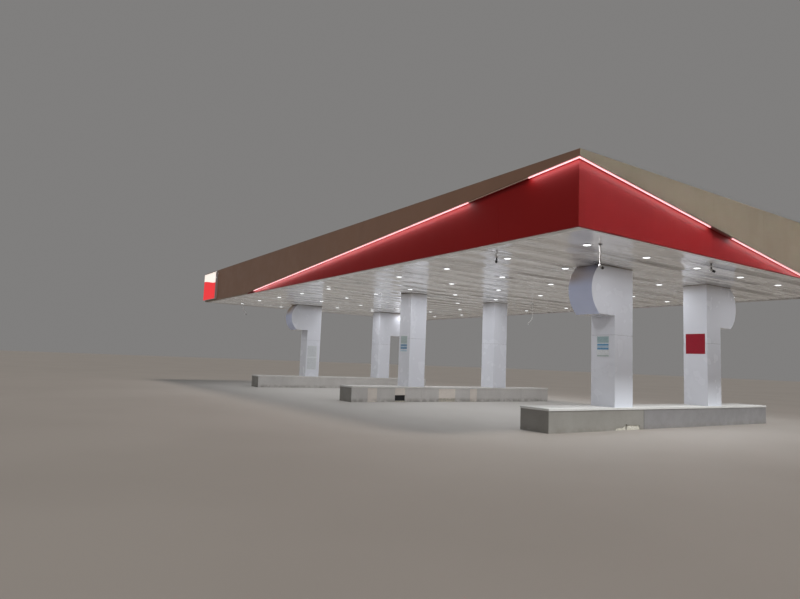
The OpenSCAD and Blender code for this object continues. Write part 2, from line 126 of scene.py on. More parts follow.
lowest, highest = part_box("downlight_cans")
LAMP_PITCH_X = (highest.x - lowest.x - LAMP_D) / (LAMPS_X - 1)
LAMP_PITCH_Y = (highest.y - lowest.y - LAMP_D) / (LAMPS_Y - 1)
LAMPS = [((i - (LAMPS_X - 1) / 2) * LAMP_PITCH_X, (j - (LAMPS_Y - 1) / 2) * LAMP_PITCH_Y)
         for i in range(LAMPS_X) for j in range(LAMPS_Y)]

# The photograph shows four of the lamps out and one that is failing
LAMPS_OUT = (4, 18, 39, 44)
LAMP_FAILING = 26
# Watts of a lamp, and of the brighter and dimmer ones, as the light on the columns shows
LAMP_WATT = 15
LAMP_WATTS = {LAMP_FAILING: 4, 11: 8, 41: 8, 48: 8, 10: 19, 20: 18, 30: 13, 31: 11.5}


# Each side of the fascia has a frame of its own: along is the distance from the red corner,
# depth the distance behind the outer face.


def front(along, depth, z):
    return Vector((along - ROOF_W / 2, depth - ROOF_L / 2, z))


def left(along, depth, z):
    return Vector((depth - ROOF_W / 2, along - ROOF_L / 2, z))


def back(along, depth, z):
    return Vector((ROOF_W / 2 - along, ROOF_L / 2 - depth, z))


def right(along, depth, z):
    return Vector((ROOF_W / 2 - depth, ROOF_L / 2 - along, z))


# Each side: its frame, its length, its wedge's length and the failed length of its light strip
SIDES = {
    "front": (front, ROOF_W, RUN_W, DARK_SHORT),
    "left": (left, ROOF_L, RUN_L, DARK_LONG),
    "back": (back, ROOF_W, RUN_W, DARK_SHORT),
    "right": (right, ROOF_L, RUN_L, DARK_LONG),
}


def band_low(along, run):
    """Height of the upper band's lower edge."""
    return max(SOFFIT_Z, BAND_Z0 - (BAND_Z0 - SOFFIT_Z) * along / run)


# Shapes


def circle(radius, steps, start=0.0):
    angles = (start + 2 * math.pi * k / steps for k in range(steps))
    return [(radius * math.cos(a), radius * math.sin(a)) for a in angles]


class Shape:
    """Points and faces of one piece, gathered before its mesh is made.

    What is added has the first of its materials unless it names another."""

    def __init__(self, *materials):
        self.materials = materials
        self.points = []
        self.faces = []
        self.kinds = []

    def add(self, points, faces, material=None):
        base = len(self.points)
        self.points += [tuple(p) for p in points]
        self.faces += [[base + i for i in face] for face in faces]
        self.kinds += [self.materials.index(material) if material else 0] * len(faces)

    def paint(self, faces, material):
        """Gives another material to faces, by their numbers."""
        for face in faces:
            self.kinds[face] = self.materials.index(material)

    def loft(self, rings, material=None, capped=True):
        """Faces between rings of as many points each, and over both ends if capped."""
        count = len(rings[0])
        points = [p for ring in rings for p in ring]
        faces = []
        for base in range(0, len(points) - count, count):
            for i in range(count):
                j = (i + 1) % count
                faces.append([base + i, base + j, base + count + j, base + count + i])
        if capped:
            faces.append(list(range(count))[::-1])
            faces.append(list(range(len(points) - count, len(points))))
        self.add(points, faces, material)

    def box(self, a, b, material=None):
        x0, y0, z0 = a
        x1, y1, z1 = b
        ring = [(x0, y0), (x1, y0), (x1, y1), (x0, y1)]
        self.loft([[(x, y, z) for x, y in ring] for z in (z0, z1)], material)

    def turned(self, profile, centre, steps=32, material=None):
        """A profile of (radius, height) turned about a vertical axis; radius 0 is a pole."""
        rings = [[(centre[0] + x, centre[1] + y, centre[2] + z) for x, y in circle(r, steps)]
                 for r, z in profile]
        self.loft(rings, material, capped=False)

    def tube(self, path, radius, steps=12, material=None):
        """A round bar along a path of points."""
        rings = []
        for i, p in enumerate(path):
            ahead = Vector(path[min(i + 1, len(path) - 1)]) - Vector(path[max(i - 1, 0)])
            turn = ahead.to_track_quat("Z", "X").to_matrix()
            rings.append([Vector(p) + turn @ Vector((x, y, 0)) for x, y in circle(radius, steps)])
        self.loft(rings, material)

    def moved(self, matrix, start):
        """Moves the points from a given one on."""
        self.points[start:] = [tuple(matrix @ Vector(p)) for p in self.points[start:]]


def new_object(name, data):
    obj = bpy.data.objects.new(name, data)
    bpy.context.scene.collection.objects.link(obj)
    return obj


def finish_piece(name, shape, replaces=(), bevel=0.0, segments=2, smooth=40):
    mesh = bpy.data.meshes.new(name)
    mesh.from_pydata(shape.points, [], shape.faces)
    mesh.polygons.foreach_set("material_index", shape.kinds)
    mesh.update()
    obj = new_object(name, mesh)
    for material in shape.materials:
        mesh.materials.append(material)
    clean_mesh(mesh)
    mesh.shade_smooth()
    mesh.set_sharp_from_angle(angle=math.radians(smooth))
    if bevel:
        edges = obj.modifiers.new("edges", "BEVEL")
        edges.width = bevel
        edges.segments = segments
        edges.limit_method = "ANGLE"
        edges.angle_limit = math.radians(35)
        edges.harden_normals = True
    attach(obj, "root")
    if replaces:
        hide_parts(*replaces)
    return obj


def clean_mesh(mesh):
    """Joins points in one place, drops empty faces and turns all faces outward."""
    bm = bmesh.new()
    bm.from_mesh(mesh)
    bmesh.ops.remove_doubles(bm, verts=bm.verts, dist=1e-5)
    bmesh.ops.dissolve_degenerate(bm, edges=bm.edges, dist=1e-5)
    bmesh.ops.recalc_face_normals(bm, faces=bm.faces)
    bm.to_mesh(mesh)
    bm.free()


# Materials


class Surface:
    """A material around one shader, with helpers for noise in metres."""

    def __init__(self, name, colour, roughness, **sockets):
        self.material = bpy.data.materials.new(name)
        self.material.use_nodes = True
        self.tree = self.material.node_tree
        self.shader = self.tree.nodes["Principled BSDF"]
        self.plain = colour
        self.colour = (*colour, 1)
        self.normal = None
        self.feed("Base Color", self.colour)
        self.feed("Roughness", roughness)
        for socket, value in sockets.items():
            self.feed(socket.replace("_", " "), value)
        self.metres = self.node("ShaderNodeTexCoord", "Object", {})

    def feed(self, socket, value, node=None):
        """Sets a socket, of the shader unless a node is named, to a value or links an output to it."""
        socket = (node or self.shader).inputs[socket]
        if isinstance(value, bpy.types.NodeSocket):
            self.tree.links.new(value, socket)
        else:
            socket.default_value = value

    def node(self, kind, output, inputs, **values):
        """Makes a node from its inputs and its own values, and gives one of its outputs."""
        made = self.tree.nodes.new(kind)
        for key, value in values.items():
            setattr(made, key, value)
        for socket, value in inputs.items():
            self.feed(socket, value, made)
        return made.outputs[output]

    def stretched(self, stretch):
        return self.node("ShaderNodeMapping", "Vector", {"Vector": self.metres, "Scale": stretch})

    def noise(self, scale, stretch=(1, 1, 1), detail=3.0, rough=0.5):
        return self.node("ShaderNodeTexNoise", "Fac", {
            "Vector": self.stretched(stretch), "Scale": scale, "Detail": detail, "Roughness": rough})

    def waves(self, length, distortion):
        """Waves of a given length along Y, bent by noise, that run for metres along X."""
        return self.node("ShaderNodeTexWave", "Fac", {
            "Vector": self.stretched((0.42, 1, 1)), "Scale": math.pi / (10 * length),
            "Distortion": distortion, "Detail": 1.0, "Detail Scale": 0.9}, bands_direction="Y")

    def cells(self, scale):
        return self.node("ShaderNodeTexVoronoi", "Color", {"Vector": self.metres, "Scale": scale})

    def ramp(self, value, low_at, high_at, low_to=0.0, high_to=1.0):
        return self.node("ShaderNodeMapRange", "Result", {
            "Value": value, "From Min": low_at, "From Max": high_at, "To Min": low_to,
            "To Max": high_to}, interpolation_type="SMOOTHSTEP")

    def along(self, axis, low_at, high_at):
        """0 up to one place on an axis and 1 from the other."""
        place = self.node("ShaderNodeSeparateXYZ", axis, {"Vector": self.metres})
        return self.ramp(place, low_at, high_at)

    def times(self, a, b):
        return self.node("ShaderNodeMath", "Value", {0: a, 1: b}, operation="MULTIPLY")

    def mix(self, share, colour):
        """Mixes a colour over what there is; a number stands for a shade of the plain colour."""
        if isinstance(colour, float):
            colour = [c * colour for c in self.plain]
        self.colour = self.node("ShaderNodeMix", "Result", {
            "Factor": share, "A": self.colour, "B": (*colour, 1)}, data_type="RGBA")
        self.feed("Base Color", self.colour)

    def tint(self, value, low_at, high_at, colour, most=1.0):
        """Mixes in a colour where a value is high, up to a share."""
        self.mix(self.ramp(value, low_at, high_at, 0, most), colour)

    def gloss(self, share, low_to, high_to):
        self.feed("Roughness", self.ramp(share, 0.3, 0.7, low_to, high_to))

    def bump(self, height, distance):
        """Adds a relief of some metres over the bumps that there are."""
        inputs = {"Height": height, "Distance": distance}
        if self.normal:
            inputs["Normal"] = self.normal
        self.normal = self.node("ShaderNodeBump", "Normal", inputs)
        self.feed("Normal", self.normal)
        self.feed("Coat Normal", self.normal)


def sheet_paint(name, colour, roughness, coat, coat_roughness, wave, dirt, soffit_shade=None, **sockets):
    """Painted sheet metal: fades, faint rain streaks, orange peel and a slow wave of the sheet.

    The optional tint towards the soffit, darker and browner up to it, is painted shade and reflection: its
    share, how far below it starts and is full, its colour."""
    s = Surface(name, colour, roughness, Coat_Weight=coat, Coat_Roughness=coat_roughness, **sockets)
    # Painted shade and reflection: darker and browner towards the soffit
    if soffit_shade:
        share, start, full, shade_colour = soffit_shade
        s.mix(s.times(s.along("Z", SOFFIT_Z - start, SOFFIT_Z - full), share), shade_colour)
    s.tint(s.noise(0.45, detail=2), 0.35, 0.7, 0.98 if soffit_shade else 0.94)
    s.tint(s.noise(1.3, (1, 1, 0.12), detail=4), 0.5, 0.8, 0.75, dirt)
    s.tint(s.noise(34, detail=5), 0.66, 0.8, 0.6, dirt * 0.4)
    s.gloss(s.noise(2.2, detail=2), roughness * 0.92, roughness * 1.12)
    s.bump(s.noise(1.1, (1, 1, 0.8), detail=1), wave)
    s.bump(s.noise(260, detail=1), 0.00004)
    return s.material


def soffit_paint():
    """Gloss white strips with slow waves, and dark streaks along the waves as painted reflection, which are
    stronger away from the long edges.
    """
    s = Surface("soffit_panel", (0.9, 0.9, 0.9), 0.22, Coat_Weight=0.9, Coat_Roughness=0.03,
                Specular_IOR_Level=0.2)
    swell = s.waves(0.95, 2.5)
    held = s.times(s.along("X", -5.2, -2.4), s.along("X", 7.4, 4.6))
    patches = s.ramp(s.noise(0.9, (0.7, 1, 1), detail=1), 0.35, 0.55, 0.2, 1)
    painted_reflection = s.times(s.ramp(held, 0, 1, 0.2, 1), patches)
    # Dark streaks along the waves, weaker towards the ends in X: painted reflection
    s.mix(s.times(painted_reflection, s.ramp(swell, 0.1, 0.5, 1, 0)), 0.12)
    s.tint(s.noise(0.35, (0.5, 1, 1), detail=2), 0.35, 0.7, 0.9)
    s.tint(s.noise(3.0, (0.25, 1, 1), detail=5), 0.55, 0.8, (0.36, 0.35, 0.33), 0.25)
    s.gloss(s.noise(1.7, (0.4, 1, 1), detail=3), 0.16, 0.3)
    s.bump(swell, 0.014)
    s.bump(s.noise(2.6, (0.16, 1, 1), detail=1.0), 0.004)
    s.bump(s.noise(1.25, (1, 2.8, 1), detail=0.5), 0.0028)
    s.bump(s.noise(220, detail=1), 0.00003)
    return s.material


def stone(name, colour, scale, roughness, low_dirt):
    """Honed stone: clouds, grains, rain marks and dirt that rises from the ground."""
    s = Surface(name, colour, roughness, Coat_Weight=0.12, Coat_Roughness=0.2)
    s.tint(s.noise(1.4, detail=3), 0.35, 0.7, 0.9)
    s.tint(s.noise(scale, detail=6, rough=0.7), 0.45, 0.75, 0.8)
    s.tint(s.noise(scale * 2.3, detail=2), 0.58, 0.7, 1.22, 0.6)
    s.tint(s.noise(2.4, (1, 1, 0.1), detail=5), 0.52, 0.75, 0.78, 0.35)
    ground = s.ramp(s.along("Z", 0.0, 0.22), 0, 1, 1, 0)
    s.mix(s.times(ground, s.ramp(s.noise(5, detail=5), 0.3, 0.65, 0, low_dirt)), (0.16, 0.14, 0.115))
    s.gloss(s.noise(4, detail=4), roughness * 0.75, roughness * 1.4)
    s.bump(s.noise(scale, detail=6, rough=0.7), 0.0006)
    return s.material


def lit_plastic(name, colour, glow, strength, roughness=0.4, patch=1.5, fade=0.94, grain=400,
                relief=0.00005):
    s = Surface(name, colour, roughness, Emission_Color=(*glow, 1), Emission_Strength=strength)
    s.tint(s.noise(patch, detail=2), 0.4, 0.7, fade)
    s.bump(s.noise(grain, detail=1), relief)
    return s.material


def lamp_glass(name, colour, strength):
    return lit_plastic(name, colour, (0.94, 0.97, 1.0), strength, 0.35, 14, 0.96, 900, 0.0002)


def zinc(name, colour, spangle, roughness):
    s = Surface(name, colour, roughness, Metallic=0.75)
    s.tint(s.cells(spangle), 0.2, 0.9, 0.72, 0.4)
    s.tint(s.noise(0.7, (1, 0.2, 1), detail=5), 0.45, 0.75, (0.34, 0.31, 0.27), 0.6)
    s.gloss(s.noise(3, detail=4), roughness * 0.8, roughness * 1.3)
    s.bump(s.noise(70, detail=3), 0.0002)
    return s.material


def primer(name, colour):
    s = Surface(name, colour, 0.55)
    s.tint(s.noise(2.5, detail=5), 0.4, 0.75, 0.75)
    s.tint(s.noise(9, detail=6, rough=0.7), 0.62, 0.75, (0.2, 0.09, 0.04), 0.5)
    s.gloss(s.noise(8, detail=3), 0.45, 0.7)
    s.bump(s.noise(140, detail=3), 0.0003)
    return s.material


def moulding(name, colour, roughness):
    s = Surface(name, colour, roughness)
    s.tint(s.noise(25, detail=4), 0.4, 0.75, 0.8)
    s.gloss(s.noise(60, detail=3), roughness * 0.8, roughness * 1.3)
    s.bump(s.noise(1500, detail=1), 0.00003)
    return s.material


def rubble():
    s = Surface("broken_mortar", (0.6, 0.56, 0.48), 0.85)
    s.tint(s.noise(18, detail=6, rough=0.75), 0.35, 0.7, 0.55)
    s.tint(s.noise(60, detail=3), 0.6, 0.7, (0.85, 0.82, 0.75))
    s.bump(s.noise(40, detail=6, rough=0.8), 0.006)
    return s.material


BEIGE = sheet_paint("beige_panel", (0.27, 0.215, 0.16), 0.45, 0.05, 0.3, 0.0012, 0.2)
RED = sheet_paint("red_panel", (0.3, 0.006, 0.007), 0.55, 0.5, 0.55, 0.0008, 0.1, Specular_IOR_Level=0.05)
# Columns and disc rims darken and brown towards the soffit as painted shade and reflection
WHITE = sheet_paint("column_panel", (0.77, 0.79, 0.86), 0.25, 0.8, 0.04, 0.0006, 0.05,
                    (0.4, 0.34, 0.02, (0.34, 0.26, 0.17)))
# The rim's bluish grey is partly its paint and partly painted reflection of bluish light
RIM_METAL = sheet_paint("disc_rim", (0.6, 0.66, 0.88), 0.3, 0.3, 0.1, 0.0006, 0.1,
                        (1.0, 0.66, 0.22, (0.42, 0.27, 0.12)), Metallic=0.15)
TRIM = sheet_paint("soffit_trim", (0.7, 0.7, 0.68), 0.3, 0.3, 0.1, 0.0004, 0.3)
GREY = sheet_paint("parapet_sheet", (0.42, 0.42, 0.41), 0.5, 0.0, 0.1, 0.0016, 0.6)
DARK = moulding("joint_shadow", (0.02, 0.02, 0.022), 0.6)
JOINT_DUST = moulding("joint_dust", (0.1, 0.095, 0.085), 0.7)
# A dark brown bead: partly sealant, partly painted shade where a column meets the soffit
SEALANT_AND_SHADE = moulding("sealant_and_shade", (0.2, 0.165, 0.125), 0.6)
SOFFIT = soffit_paint()
FACING = stone("stone_facing", (0.262, 0.246, 0.222), 55, 0.42, 0.4)
FACING_WORN = stone("stone_facing_worn", (0.6, 0.58, 0.56), 40, 0.45, 0.5)
FACING_COOL = stone("stone_facing_cool", (0.238, 0.226, 0.226), 60, 0.42, 0.3)
FACING_PALE = stone("stone_facing_pale", (0.76, 0.7, 0.64), 26, 0.5, 0.5)
SLAB = stone("stone_slab", (0.66, 0.645, 0.62), 38, 0.4, 0.0)
CONCRETE = stone("concrete", (0.42, 0.41, 0.39), 12, 0.85, 0.7)
RIM = moulding("lamp_rim", (0.75, 0.75, 0.74), 0.35)
LENS = lamp_glass("lamp_lens", (1, 1, 1), 2.2)
LENS_OUT = lamp_glass("lamp_lens_out", (0.6, 0.6, 0.57), 0)
LENS_FAILING = lamp_glass("lamp_lens_failing", (0.8, 0.8, 0.78), 0.5)
STRIP_LIT = lit_plastic("light_strip", (0.4, 0.2, 0.2), (1.0, 0.4, 0.43), 0.95)
# The channel's pale edge: paler than its paint, as painted highlight on the lip
STRIP_CHANNEL_HIGHLIGHT = moulding("light_strip_channel_highlight", (0.95, 0.72, 0.62), 0.35)
STRIP_DARK = moulding("light_strip_failed", (0.26, 0.03, 0.03), 0.4)
SIGN_WHITE = lit_plastic("sign_face", (0.95, 0.94, 0.9), (1, 0.97, 0.9), 0.75)
SIGN_RED = lit_plastic("sign_face_red", (0.7, 0.03, 0.04), (1, 0.03, 0.04), 0.6)
STEEL = primer("painted_steel", (0.3, 0.32, 0.34))
ZINC = zinc("galvanised_steel", (0.58, 0.6, 0.62), 60, 0.42)
DECK = zinc("deck_sheet", (0.62, 0.64, 0.65), 45, 0.4)
BRACKET = moulding("bracket_paint", (0.6, 0.585, 0.58), 0.35)
NECK_WHITE = moulding("neck_paint", (0.93, 0.93, 0.92), 0.3)
SHELL_WHITE = moulding("camera_shell_white", (0.7, 0.7, 0.7), 0.25)
SHELL = moulding("camera_shell", (0.02, 0.02, 0.024), 0.28)
GLASS = moulding("camera_glass", (0.01, 0.012, 0.02), 0.05)
MORTAR = rubble()
PLATES = {name: moulding("plate_" + name, colour, 0.35) for name, colour in (
    ("red", (0.35, 0.012, 0.03)), ("white", (0.74, 0.77, 0.8)), ("teal", (0.38, 0.52, 0.55)),
    ("blue", (0.12, 0.34, 0.58)), ("pale", (0.45, 0.58, 0.7)), ("faint", (0.64, 0.67, 0.7)),
    ("slate", (0.42, 0.5, 0.5)), ("steel_blue", (0.16, 0.3, 0.46)))}

NODE_LOOKS = {
    "island_core_a": CONCRETE, "island_core_b": CONCRETE, "island_core_c": CONCRETE,
    "column_cores": STEEL, "red_corner_angles": RED, "parapet_walls": GREY, "main_beams": STEEL,
    "purlin_set": ZINC, "roof_deck": DECK, "ridge_cap": DECK, "gutters": ZINC,
}


def dress_nodes():
    """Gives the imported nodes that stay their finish."""
    for node, material in NODE_LOOKS.items():
        mesh = frame["nodes"][node].data
        mesh.materials.clear()
        mesh.materials.append(material)


# Fascia


def cuts(end, count, start=0.0):
    """Ends of a row of like panels."""
    return [start + (end - start) * i / count for i in range(count + 1)]


def add_cassettes(shape, place, length, near, gap, outline, tip=None):
    """A row of like trays, mitred at the red corner and, unless it ends in a tip, at the other."""
    ends = cuts(length, round(length / CASSETTE_L))
    for a, b in zip(ends, ends[1:]):
        rings = []
        for depth in (near, BAND_DEPTH):
            u0 = a + gap if a > 0 else depth
            u1 = b - gap if b < length else length - (tip or depth)
            rings.append([place(u, depth, z) for u, z in outline(u0, u1)])
        shape.loft(rings)


def band_cassettes(side):
    """The trays of the upper band, with a lower edge that slants as far as the wedge runs."""
    place, length, run, _ = SIDES[side]
    shape = Shape(BEIGE)

    def outline(u0, u1):
        kink = run if u0 < run < u1 else (u0 + u1) / 2
        return [(u, band_low(u, run)) for u in (u0, kink, u1)] + [(u1, TRAY_TOP), (u0, TRAY_TOP)]

    add_cassettes(shape, place, length, 0.0, 0.0008, outline)
    finish_piece("band_cassettes_" + side, shape, ["upper_band_" + side], bevel=0.0025)


def red_cassettes(side):
    """The panels of a red wedge, which stand back from the upper band's face."""
    place, _, run, _ = SIDES[side]
    shape = Shape(RED)

    def outline(u0, u1):
        return [(u0, SOFFIT_Z), (u1, SOFFIT_Z), (u1, band_low(u1, run)), (u0, band_low(u0, run))]

    add_cassettes(shape, place, run, RED_NEAR, 0.0006, outline, tip=0.01)
    finish_piece("red_cassettes_" + side, shape, ["red_panel_" + side], bevel=0.002)


def red_lips():
    """A drip edge along the foot of each red wedge."""
    shape = Shape(RED)
    lip_h, lip_d, ledge = 0.028, 0.014, 0.004
    section = [(RED_NEAR, 0), (RED_NEAR - lip_d, 0), (RED_NEAR - lip_d, lip_h - ledge), (RED_NEAR, lip_h)]
    for place, _, run, _ in SIDES.values():
        end = run * (1 - lip_h * 1.4 / (BAND_Z0 - SOFFIT_Z))
        shape.loft([[place(max(u, depth), depth, SOFFIT_Z + z) for depth, z in section]
                    for u in (0.0, end)])
    finish_piece("red_drip_edges", shape, bevel=0.002)


def copings():
    """Folded copings in lengths, with a cover strap over each joint."""
    shape = Shape(BEIGE)
    strap_w, strap_t, inset, gap = 0.09, 0.003, 0.0005, 0.0015
    inner = BAND_DEPTH + 0.08
    wall_in = BAND_DEPTH + 0.06
    body_top = ROOF_TOP - strap_t
    profile = [(0.0, TRAY_TOP), (0.0, body_top), (inner, body_top), (inner, COPING_FOOT),
               (wall_in, COPING_FOOT), (wall_in, TRAY_TOP)]
    strap = [(inset, body_top), (inset, ROOF_TOP), (inner - inset, ROOF_TOP), (inner - inset, body_top)]
    for place, length, _, _ in SIDES.values():
        ends = cuts(length, round(length / COPING_L))
        for a, b in zip(ends, ends[1:]):
            shape.loft([[place(a + (gap if a > 0 else depth), depth, z) for depth, z in profile],
                        [place(b - (gap if b < length else depth), depth, z) for depth, z in profile]])
        for u in ends[1:-1]:
            shape.loft([[place(x, depth, z) for depth, z in strap]
                        for x in (u - strap_w / 2, u + strap_w / 2)])
    finish_piece("copings", shape, ["parapet_copings"], bevel=0.0012)


# The light strip's section: shares of its width and of its height
STRIP_SECTION = [(0, 0), (0, -0.6), (0.14, -0.88), (0.36, -1), (0.64, -1), (0.86, -0.88), (1, -0.6), (1, 0)]
# Watts of a metre of strip on the long and on the short sides
LONG_WATTS, SHORT_WATTS = 1.3, 1.0


def strip_point(place, along, run, across, up):
    """A point of a light strip, which is mitred at the red corner."""
    depth = STRIP_NEAR + across * STRIP_W
    along = max(along, depth)
    return place(along, depth, band_low(along, run) + up * STRIP_H)


def light_strips(sides, name, node):
    """The strips under the slanting edge of some sides, with a joint at each end of a dark length."""
    shape = Shape(STRIP_LIT, STRIP_DARK, STRIP_CHANNEL_HIGHLIGHT)
    joint = 0.002
    for side in sides:
        place, length, run, dark = SIDES[side]
        is_long = length == ROOF_L
        watts = LONG_WATTS if is_long else SHORT_WATTS
        slope = (BAND_Z0 - SOFFIT_Z) / run
        end = run - STRIP_H / slope - 0.02
        tail = end - DARK_TAIL if is_long else end
        spans = [(0.0, dark[0] - joint, True), (dark[0], dark[1] - joint, False), (dark[1], tail, True)]
        if is_long:
            spans.append((tail + joint, end, False))
        for a, b, lit in spans:
            if lit:
                strip_light("strip_%s_%d" % (side, a), place, a, b, run, watts)
            shape.loft([[strip_point(place, u, run, *shares) for shares in STRIP_SECTION]
                        for u in (a, b)], STRIP_LIT if lit else STRIP_DARK)
            if is_long and a == dark[0]:
                add_channel_edge(shape, place, a, b, run)
    finish_piece(name, shape, [node], smooth=50)


def strip_light(name, place, a, b, run, watts):
    """The light that a lit length of strip throws on the red panels behind it."""
    clear = 0.004
    start, end = (place(u, clear, band_low(u, run) - STRIP_H - clear) for u in (a, b))
    length = (end - start).length
    along = (end - start).normalized()
    away = place(0, 0, 0.6) - place(0, 0.8, 0)
    away = (away - along * away.dot(along)).normalized()
    glow = add_light(name, "AREA", watts * length, (0.85, 0.97, 1.0), shape="RECTANGLE",
                     size=length, size_y=0.012)
    turn = Matrix((along, away.cross(along), away)).transposed().to_4x4()
    glow.matrix_world = Matrix.Translation((start + end) / 2) @ turn
    glow.visible_glossy = True


def add_channel_edge(shape, place, a, b, run):
    """The pale edge of the channel that holds the strip, which shows where the strip is dark; its paleness
    is partly painted highlight.
    """
    section = [(-0.003, 0), (-0.0005, 0), (-0.0005, -0.024), (-0.003, -0.024)]
    shape.loft([[place(u, STRIP_NEAR + d, band_low(u, run) + h) for d, h in section] for u in (a, b)],
               STRIP_CHANNEL_HIGHLIGHT)


def sign_boxes():
    """Two bare lit boxes, white over red, at the ends of the long sides."""
    shape = Shape(SIGN_WHITE, SIGN_RED, WHITE)
    lo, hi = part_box("sign_boxes")
    thick = -lo.x - ROOF_W / 2
    rim, face_in, curve, arc_steps = 0.018, 0.006, 0.09, 24
    split = lo.z + (hi.z - lo.z) * 0.66
    u0, u1 = ROOF_L - SIGN_W, ROOF_L
    outer = [(u0, lo.z), (u1, lo.z), (u1, hi.z), (u0, hi.z)]
    inner = [(u0 + rim, lo.z + rim), (u1 - rim, lo.z + rim), (u1 - rim, hi.z - rim), (u0 + rim, hi.z - rim)]
    arc = [(u0 + rim + (SIGN_W - 2 * rim) * t, split + curve * math.sin(math.pi * (t - 0.5)))
           for t in (i / arc_steps for i in range(arc_steps + 1))]
    for place in (left, right):
        shape.loft([[place(u, depth, z) for u, z in outline] for depth, outline in (
            (0.0, outer), (-thick, outer), (-thick, inner), (-thick + face_in, inner))], WHITE)
        for face, edge in ((SIGN_WHITE, hi.z - rim), (SIGN_RED, lo.z + rim)):
            outline = arc + [(u1 - rim, edge), (u0 + rim, edge)]
            shape.loft([[place(u, -thick + face_in + d, z) for u, z in outline] for d in (0.001, -0.003)],
                       face)
    finish_piece("sign_boxes_bare", shape, ["sign_boxes"])


# Soffit

LINING_PITCH = LAMP_PITCH_Y / STRIPS_PER_LAMP
LINING_CELL = LAMP_PITCH_X / CELLS_PER_LAMP
LAMP_STRIPS = {round(y / LINING_PITCH - 0.5) for _, y in LAMPS}
LAMP_PLACES = sorted({x for x, _ in LAMPS})


def strip_rise(strip, x, across):
    """How far a strip of the lining lies above its lowest plane: each is tilted and twisted a little."""
    own = random.Random(strip * 7 + 3)
    tilt = own.uniform(-1, 1) * 0.0022
    mean = noise.noise(Vector((x * 0.3, strip * 0.23, 1.7))) * 0.0012
    twist = noise.noise(Vector((x * 0.42, strip * 0.9, 8.2))) * 0.0075
    crown = (1 - (2 * across - 1) ** 2) * own.uniform(-0.0008, 0.0008)
    return max(0.0, 0.0042 + mean + (tilt + twist) * (across - 0.5) * 2 + crown)


def in_column(x, y):
    """Whether a cell of the lining is taken up by a column."""
    return any(abs(x - side * COLUMN_X) < (COLUMN_SIDE - LINING_CELL) / 2 and
               abs(y - row_y) < (COLUMN_SIDE - LINING_PITCH) / 2
               for side in (-1, 1) for row_y in ROW_Y.values())


def add_lining_strip(shape, strip, xs):
    """One strip: a flange up in the joint, a flat of four cells across and a folded edge."""
    y0 = strip * LINING_PITCH
    middle = y0 + LINING_PITCH / 2
    edge, clip = 0.008, SOFFIT_Y - LINING_GAP
    section = [(-0.011, 0.0155), (0.003, 0.0145)]
    section += [(edge + (LINING_PITCH - 2 * edge) * k / 4, 0.0) for k in range(5)]
    section += [(LINING_PITCH - 0.003, 0.0125)]
    section = [(min(max(y0 + y, -clip), clip), z) for y, z in section]
    if section[-1][0] - section[0][0] < 0.02:
        return

    def point(x, y, z=0.0):
        return x, y, SOFFIT_Z + strip_rise(strip, x, (y - y0) / LINING_PITCH) + z

    points = [point(x, y, z) for x in xs for y, z in section]
    count = len(section)
    faces = []
    flanges = []
    holes = []
    for i in range(len(xs) - 1):
        x = (xs[i] + xs[i + 1]) / 2
        if in_column(x, middle):
            continue
        near, far = i * count, (i + 1) * count
        lamp = [at for at in LAMP_PLACES if strip in LAMP_STRIPS and abs(at - x) < 0.02]
        for j in range(count - 1):
            if lamp and 2 <= j <= 5:
                continue
            if j == 0:
                flanges.append(len(shape.faces) + len(faces))
            faces.append([near + j, far + j, far + j + 1, near + j + 1])
        holes += [(near, far, at) for at in lamp]
    for near, far, lamp in holes:
        base = len(points)
        ring = circle(HOLE_R, HOLE_STEPS, math.radians(225))
        points += [point(lamp + x, middle + y) for x, y in ring]
        lower = [near + 2] + [far + k for k in range(2, 7)]
        upper = [far + 6] + [near + k for k in range(6, 1, -1)]
        faces.append(lower + [base + k for k in range(HOLE_STEPS // 2, -1, -1)])
        faces.append(upper + [base + k % HOLE_STEPS for k in range(HOLE_STEPS, HOLE_STEPS // 2 - 1, -1)])
    shape.add(points, faces)
    shape.paint(flanges, JOINT_DUST)


def soffit_strips(name, node, inside):
    """The strips of one bay, with a round hole for each lamp and cut at the columns."""
    shape = Shape(SOFFIT, JOINT_DUST)
    edge_x = SOFFIT_X - LINING_GAP
    half = round(edge_x / LINING_CELL)
    xs = [-edge_x] + [(i - 0.5) * LINING_CELL for i in range(-half + 1, half + 1)] + [edge_x]
    count = math.ceil(SOFFIT_Y / LINING_PITCH)
    for strip in range(-count, count):
        if inside(strip * LINING_PITCH + LINING_PITCH / 2):
            add_lining_strip(shape, strip, xs)
    obj = finish_piece(name, shape, [node], smooth=30)
    sheet = obj.modifiers.new("sheet", "SOLIDIFY")
    sheet.thickness = 0.0009
    sheet.offset = 1 if faces_down(obj) else -1


def faces_down(obj):
    """Whether the flat faces of a lining look down."""
    return sum(p.normal.z * p.area for p in obj.data.polygons) < 0


def soffit_trim():
    """The angle that the lining's ends rest on, all round inside the fascia."""
    shape = Shape(TRIM)
    leg, thick, rise = 0.05, 0.003, 0.03
    rings = []
    for inset, height in ((0.0, rise), (0.0, 0.0), (leg, 0.0), (leg, thick), (thick, thick), (thick, rise)):
        a, b, z = SOFFIT_X - inset, SOFFIT_Y - inset, SOFFIT_Z + height
        rings.append([(-a, -b, z), (a, -b, z), (a, b, z), (-a, b, z)])
    shape.loft(rings + rings[:1], capped=False)
    finish_piece("soffit_edge_trim", shape, bevel=0.0008)


